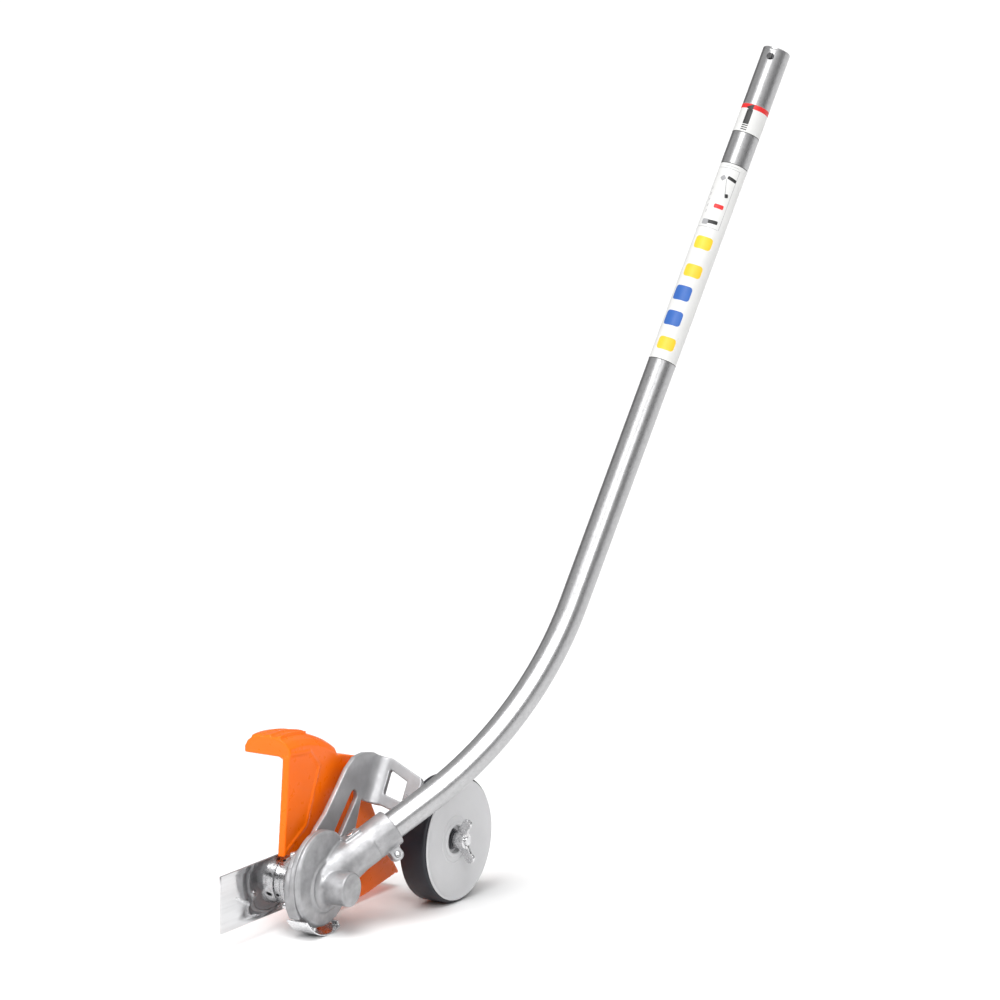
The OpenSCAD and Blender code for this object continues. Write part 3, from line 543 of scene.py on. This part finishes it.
class EDGER_OT_machined(bpy.types.Operator):
    """Blade, discs, screws, axle and the other machined or pressed pieces with their edges broken"""
    bl_idname = "edger.machined"
    bl_label = "Machined pieces"

    def execute(self, context):
        width = settings().edge_round
        steps = settings().turned_steps
        for body, finish, nodes in (
                ("attachment", "zinc_steel", ("cover_screws", "clamp_screw", "locating_screw", "deflector_screws",
                                              "wheel_plate_bolts", "grease_plug", "skid_screw")),
                ("attachment", "black_steel", ("wheel_plate",)),
                ("blade_spindle", "zinc_steel", ("blade_nut",)),
                ("wheel_carriage", "zinc_steel", ("axle_bolt",)),
                ("drive_end", "gear_steel", ("drive_end",))):
            for node in nodes:
                add_piece(node + "_finished", broken_edges(node, width), finish, body, [node])
        add_piece("skid_plate_pressed", grained(copy_of("skid_plate"), 0.0005, 2), "skid_steel", "attachment",
                  ["skid_plate"], smooth=180)
        add_piece("wing_nut_cast", grained(copy_of("wing_nut"), 0.0004, 6), "zinc_steel", "wing_nut",
                  ["wing_nut"], smooth=180)
        add_piece("blade_polished", broken_edges("blade", 0.00015), "blade_steel", "blade_spindle", ["blade"])

        disc_r, bore = 21.6, 6.0
        thrust = turned([(bore, -30.2), (bore, -19.6), (disc_r - 0.5, -19.6), (disc_r, -20.1), (disc_r, -23.2),
                         (disc_r - 0.5, -23.4), (disc_r - 0.5, -24.2), (disc_r, -24.4), (disc_r, -29.7),
                         (disc_r - 0.5, -30.2), (12.6, -30.2), (12.6, -31.9), (bore, -31.9)][::-1], GEAR, steps)
        holes = bmesh.new()
        for k in range(8):
            a = math.radians(20 + 45 * k)
            out = Vector((math.cos(a), 0, math.sin(a)))
            level = Vector((0, -27, 0))
            cylinder(holes, level + out * 14, level + out * 26, 1.7, 24)
        add_piece("thrust_disc_turned", cut_away(thrust, holes), "zinc_steel", "blade_spindle", ["thrust_disc"],
                  smooth=30)
        clamp = turned([(bore, -36.2), (disc_r - 1.5, -36.2), (disc_r - 0.4, -35.8), (disc_r, -34.9),
                        (disc_r, -32.5), (disc_r - 0.3, -32.2), (bore, -32.2)], GEAR, steps)
        add_piece("clamp_disc_turned", clamp, "zinc_steel", "blade_spindle", ["clamp_disc"], smooth=30)
        bolt_hole = 4.05
        for node in ("axle_sleeve", "slide_washer"):
            low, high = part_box(node)
            outer, middle = (high.x - low.x) / 2 / MM, (low + high) / 2
            half = (high.y - low.y) / 2 / MM
            ring = turned([(bolt_hole, -half), (outer - 0.3, -half), (outer, -half + 0.3), (outer, half - 0.3),
                           (outer - 0.3, half), (bolt_hole, half)], middle, 64)
            add_piece(node + "_turned", ring, "zinc_steel", "wheel_carriage", [node], smooth=30)
        low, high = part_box("spring_washers")
        middle, first = (low + high) / 2, low.y
        stack = bmesh.new()
        for i in range(3):
            rim = 9.5 - 0.8 * i
            one = turned([(bolt_hole, 0.1), (rim - 0.3, 0.0), (rim, 0.25), (rim, 0.65), (rim - 0.3, 0.9),
                          (bolt_hole, 0.8)], Vector((middle.x, first + 0.0015 * i, middle.z)), 64)
            mesh = bpy.data.meshes.new("one")
            one.to_mesh(mesh)
            one.free()
            stack.from_mesh(mesh)
            bpy.data.meshes.remove(mesh)
        add_piece("spring_washers_turned", stack, "gear_steel", "wheel_carriage", ["spring_washers"], smooth=30)
        return {"FINISHED"}


def on_tube(inward, around, radius):
    """A place on the upper tube: millimetres in from its end, millimetres round it and its radius."""
    angle = around / TUBE_R
    return GEAR + (TUBE_END - TOP * inward + (FACING * math.cos(angle) + FACING_SIDE * math.sin(angle))
                   * radius) * MM


def printed(name, bm, inward, around, finish, low=0.03, thick=0.03):
    """Lays a flat shape, drawn in millimetres, on the label film and gives it a thickness."""
    width = max(abs(v.co.x) for v in bm.verts)
    for k in range(-int(width), int(width) + 1):
        bmesh.ops.bisect_plane(bm, geom=bm.verts[:] + bm.edges[:] + bm.faces[:], plane_co=(k + 0.013, 0, 0),
                               plane_no=(1, 0, 0))
    bmesh.ops.recalc_face_normals(bm, faces=bm.faces)
    if bm.faces[:] and bm.faces[0].normal.z < 0:
        bmesh.ops.reverse_faces(bm, faces=bm.faces)
    made = bmesh.ops.extrude_face_region(bm, geom=bm.faces[:], use_keep_orig=True)
    for item in made["geom"]:
        if isinstance(item, bmesh.types.BMVert):
            item.co.z = thick
    for v in bm.verts:
        v.co = on_tube(inward - v.co.y, around + v.co.x, TUBE_R + low + v.co.z)
    bmesh.ops.recalc_face_normals(bm, faces=bm.faces)
    return add_piece(name, bm, finish, "attachment")


def flat_bar(width, length, turn=0.0, soft=0.0):
    bm = bmesh.new()
    bmesh.ops.create_grid(bm, x_segments=1, y_segments=1, size=0.5)
    bmesh.ops.scale(bm, vec=(width, length, 1), verts=bm.verts)
    if soft:
        bmesh.ops.bevel(bm, geom=bm.verts[:], offset=soft, offset_type="OFFSET", affect="VERTICES", segments=3,
                        profile=0.5, material=-1)
    bmesh.ops.rotate(bm, cent=(0, 0, 0), matrix=Matrix.Rotation(math.radians(turn), 3, "Z"), verts=bm.verts)
    return bm


def flat_triangle(size, soft):
    """A rounded triangle that points to -X."""
    bm = bmesh.new()
    bmesh.ops.create_circle(bm, cap_ends=True, segments=3, radius=size)
    tip = max(bm.verts, key=lambda v: v.co.length and v.co.y).co
    bmesh.ops.rotate(bm, cent=(0, 0, 0), verts=bm.verts,
                     matrix=Matrix.Rotation(math.pi - math.atan2(tip.y, tip.x), 3, "Z"))
    bmesh.ops.bevel(bm, geom=bm.verts[:], offset=soft, offset_type="OFFSET", affect="VERTICES", segments=3,
                    profile=0.5, material=-1)
    return bm


class EDGER_OT_labels(bpy.types.Operator):
    """Label films with plain generic shapes and no lettering"""
    bl_idname = "edger.labels"
    bl_label = "Labels"

    def execute(self, context):
        steps = settings().turned_steps
        centre = head(*TUBE_END)
        for node, start, stop in (("pointer_label", 57, 84.6), ("notice_label", 115.2, 307.2)):
            film = turned([(TUBE_R, -start), (TUBE_R, -stop), (TUBE_R + 0.03, -stop), (TUBE_R + 0.03, -start)],
                          centre, steps, TOP, FACING)
            add_piece(node + "_film", film, "label_film", "attachment", [node])
        for name, start, stop, finish in (("pointer_band", 57.1, 61.6, "print_red"),
                                          ("pointer_line", 84.0, 84.6, "print_black"),
                                          ("notice_line_top", 115.2, 115.8, "print_black"),
                                          ("notice_line_bottom", 306.6, 307.2, "print_black")):
            ring = turned([(TUBE_R + 0.02, -start), (TUBE_R + 0.02, -stop), (TUBE_R + 0.05, -stop),
                           (TUBE_R + 0.05, -start)], centre, steps, TOP, FACING)
            add_piece(name, ring, finish, "attachment")
        place = -4.6
        printed("pointer_shaft", flat_bar(5.6, 14), 69.6, place, "print_black", 0.05)
        printed("pointer_head", flat_triangle(4.6, 0.4), 60.8, place, "print_black", 0.05)
        for i, inward in enumerate((77.9, 79.9, 81.9)):
            printed(f"pointer_stripe_{i + 1}", flat_bar(5.6, 1.0), inward, place, "print_black")
        for i, inward in enumerate((193.5, 221.0, 291.8)):
            printed(f"notice_block_yellow_{i + 1}", flat_bar(17, 12, 0, 3), inward, -3.1, "print_yellow")
        for i, inward in enumerate((243.2, 267.6)):
            printed(f"notice_block_blue_{i + 1}", flat_bar(17, 14, 0, 3), inward, -5.5, "print_blue")
        printed("notice_block_red", flat_bar(9, 4, 0, 1), 157.4, -1.1, "print_red")
        printed("notice_mark_1", flat_bar(9.0, 3.0, -12, 0.8), 129.8, 2.0, "print_black")
        printed("notice_mark_2", flat_bar(4.4, 4.4, 45, 0.8), 130.5, -6.4, "print_grey")
        printed("notice_mark_3", flat_bar(3.2, 3.6, 20, 0.8), 146.0, 2.1, "print_black")
        printed("notice_mark_4", flat_bar(0.7, 16.0, 14), 139.0, -1.0, "print_grey")
        printed("notice_mark_5", flat_bar(10.0, 3.4, 4, 0.9), 172.8, -1.8, "print_black")
        printed("notice_mark_6", flat_bar(6.4, 5.2, 0, 1.2), 173.6, -8.8, "print_grey")
        for i in range(5):
            printed(f"notice_dash_{i + 1}", flat_bar(0.8, 2.6, -8), 141.0 + 5.6 * i, -14.6 + 0.6 * i, "print_grey")
        for i, (x, y, w, h) in enumerate(((-4.0, 120.6, 22.0, 0.35), (-5.0, 178.4, 21.0, 0.35),
                                          (6.4, 149.5, 0.35, 57.5), (-2.0, 118.3, 13.0, 0.35))):
            printed(f"notice_frame_{i + 1}", flat_bar(w, h), y, x, "print_grey")
        return {"FINISHED"}


class EDGER_OT_hidden_pieces(bpy.types.Operator):
    """Finishes of the gears, bearings, liner and other pieces inside, which keep their CAD shape"""
    bl_idname = "edger.hidden_pieces"
    bl_label = "Pieces inside"

    def execute(self, context):
        for finish, nodes in (
                ("liner_plastic", ("tube_liner",)), ("wound_steel", ("flex_shaft",)),
                ("bushing_plastic", ("end_bushing",)), ("seal_rubber", ("shaft_seal",)),
                ("bearing_steel", ("pinion_bearings", "pinion_ring", "boss_bearing", "cover_bearing",
                                   "snap_ring")),
                ("gear_steel", ("blade_shaft", "crown_gear", "shaft_key", "pinion"))):
            for node in nodes:
                NODES[node].data.materials.clear()
                NODES[node].data.materials.append(finish_named(finish))
        return {"FINISHED"}


# ---------------------------------------------------------------- stage

def soft_light(name, place, target, size, power):
    """Adds a square area light that faces the target."""
    light = bpy.data.lights.new(name, "AREA")
    light.size = size
    light.energy = power
    lamp = bpy.data.objects.new(name, light)
    bpy.context.scene.collection.objects.link(lamp)
    lamp.location = place
    lamp.rotation_euler = (target - place).to_track_quat("-Z", "Y").to_euler()


class EDGER_OT_stage(bpy.types.Operator):
    """Camera, pale floor and soft studio light"""
    bl_idname = "edger.stage"
    bl_label = "Stage"

    def execute(self, context):
        scene = context.scene
        data = bpy.data.cameras.new("camera")
        data.sensor_width, data.lens = 36, 199.96
        data.clip_start, data.clip_end = 0.1, 100
        camera = bpy.data.objects.new("camera", data)
        scene.collection.objects.link(camera)
        camera.location = head(3896.5, 2588.3, 1272.8)
        look = Vector((-0.835, -0.5144, -0.1955)).normalized()
        camera.rotation_euler = look.to_track_quat("-Z", "Y").to_euler()
        scene.camera = camera

        floor_level = -43.6
        bm = bmesh.new()
        bmesh.ops.create_grid(bm, x_segments=8, y_segments=8, size=60,
                              matrix=Matrix.Translation(head(0, 0, floor_level)))
        mesh = bpy.data.meshes.new("floor")
        bm.to_mesh(mesh)
        bm.free()
        mat = shader("floor_paper", (0.93, 0.93, 0.93), 0, 0.7)
        place = object_place(mat)
        join(mat, ramp(mat, noise(mat, place, 3, 2), (0.925, 0.925, 0.925), (0.94, 0.94, 0.94)), "Base Color")
        mesh.materials.append(mat)
        floor = bpy.data.objects.new("floor", mesh)
        scene.collection.objects.link(floor)

        # Studio round the object: bright below and above, with a dark band that shows in the metal
        world = bpy.data.worlds.new("studio")
        world.use_nodes = True
        tree = world.node_tree
        coord = tree.nodes.new("ShaderNodeTexCoord")
        split = tree.nodes.new("ShaderNodeSeparateXYZ")
        tree.links.new(coord.outputs["Generated"], split.inputs["Vector"])
        sky = tree.nodes.new("ShaderNodeValToRGB")
        sky.color_ramp.elements[0].position, sky.color_ramp.elements[1].position = 0.0, 1.0
        sky.color_ramp.elements[0].color = (0.85, 0.85, 0.85, 1)
        sky.color_ramp.elements[1].color = (1, 1, 1, 1)
        for position, level in ((0.02, 0.3), (0.12, 0.16), (0.26, 0.2), (0.42, 0.75), (0.7, 0.55)):
            element = sky.color_ramp.elements.new(position)
            element.color = (level, level, level, 1)
        tree.links.new(split.outputs["Z"], sky.inputs["Fac"])
        tree.links.new(sky.outputs["Color"], tree.nodes["Background"].inputs["Color"])
        tree.nodes["Background"].inputs["Strength"].default_value = 0.86
        scene.world = world
        sun = bpy.data.lights.new("sun", "SUN")
        sun.energy, sun.angle = 2.3, math.radians(40)
        lamp = bpy.data.objects.new("sun", sun)
        scene.collection.objects.link(lamp)
        lamp.rotation_euler = Vector((-0.5, -0.1, -1)).to_track_quat("-Z", "Y").to_euler()
        aim = head(-100, 0, 40)
        soft_light("key", head(900, 1100, 900), aim, 0.5, 7)
        soft_light("side", head(1300, -900, 700), aim, 0.6, 5)
        scene.view_settings.view_transform = "Standard"
        return {"FINISHED"}


class EDGER_PT_panel(bpy.types.Panel):
    """Sidebar panel that lists the settings and the operators"""
    bl_idname = "EDGER_PT_panel"
    bl_label = "Edger attachment"
    bl_space_type = "VIEW_3D"
    bl_region_type = "UI"
    bl_category = "Edger"

    def draw(self, context):
        for group in (context.scene.edger_sizes, context.scene.edger_colours):
            for key in group.__annotations__:
                self.layout.prop(group, key)
        for operator in OPERATORS:
            self.layout.operator(operator.bl_idname)


OPERATORS = (EDGER_OT_drive_tube, EDGER_OT_castings, EDGER_OT_deflector, EDGER_OT_wheel,
             EDGER_OT_machined, EDGER_OT_labels, EDGER_OT_hidden_pieces, EDGER_OT_stage)
CLASSES = (EdgerSizes, EdgerColours, *OPERATORS, EDGER_PT_panel)


def register():
    for cls in CLASSES:
        bpy.utils.register_class(cls)
    bpy.types.Scene.edger_sizes = PointerProperty(type=EdgerSizes)
    bpy.types.Scene.edger_colours = PointerProperty(type=EdgerColours)


def unregister():
    del bpy.types.Scene.edger_colours
    del bpy.types.Scene.edger_sizes
    for cls in reversed(CLASSES):
        bpy.utils.unregister_class(cls)


def main():
    """Makes every piece and the stage."""
    register()
    for operator in OPERATORS:
        group, name = operator.bl_idname.split(".")
        getattr(getattr(bpy.ops, group), name)()


if __name__ == "__main__":
    main()
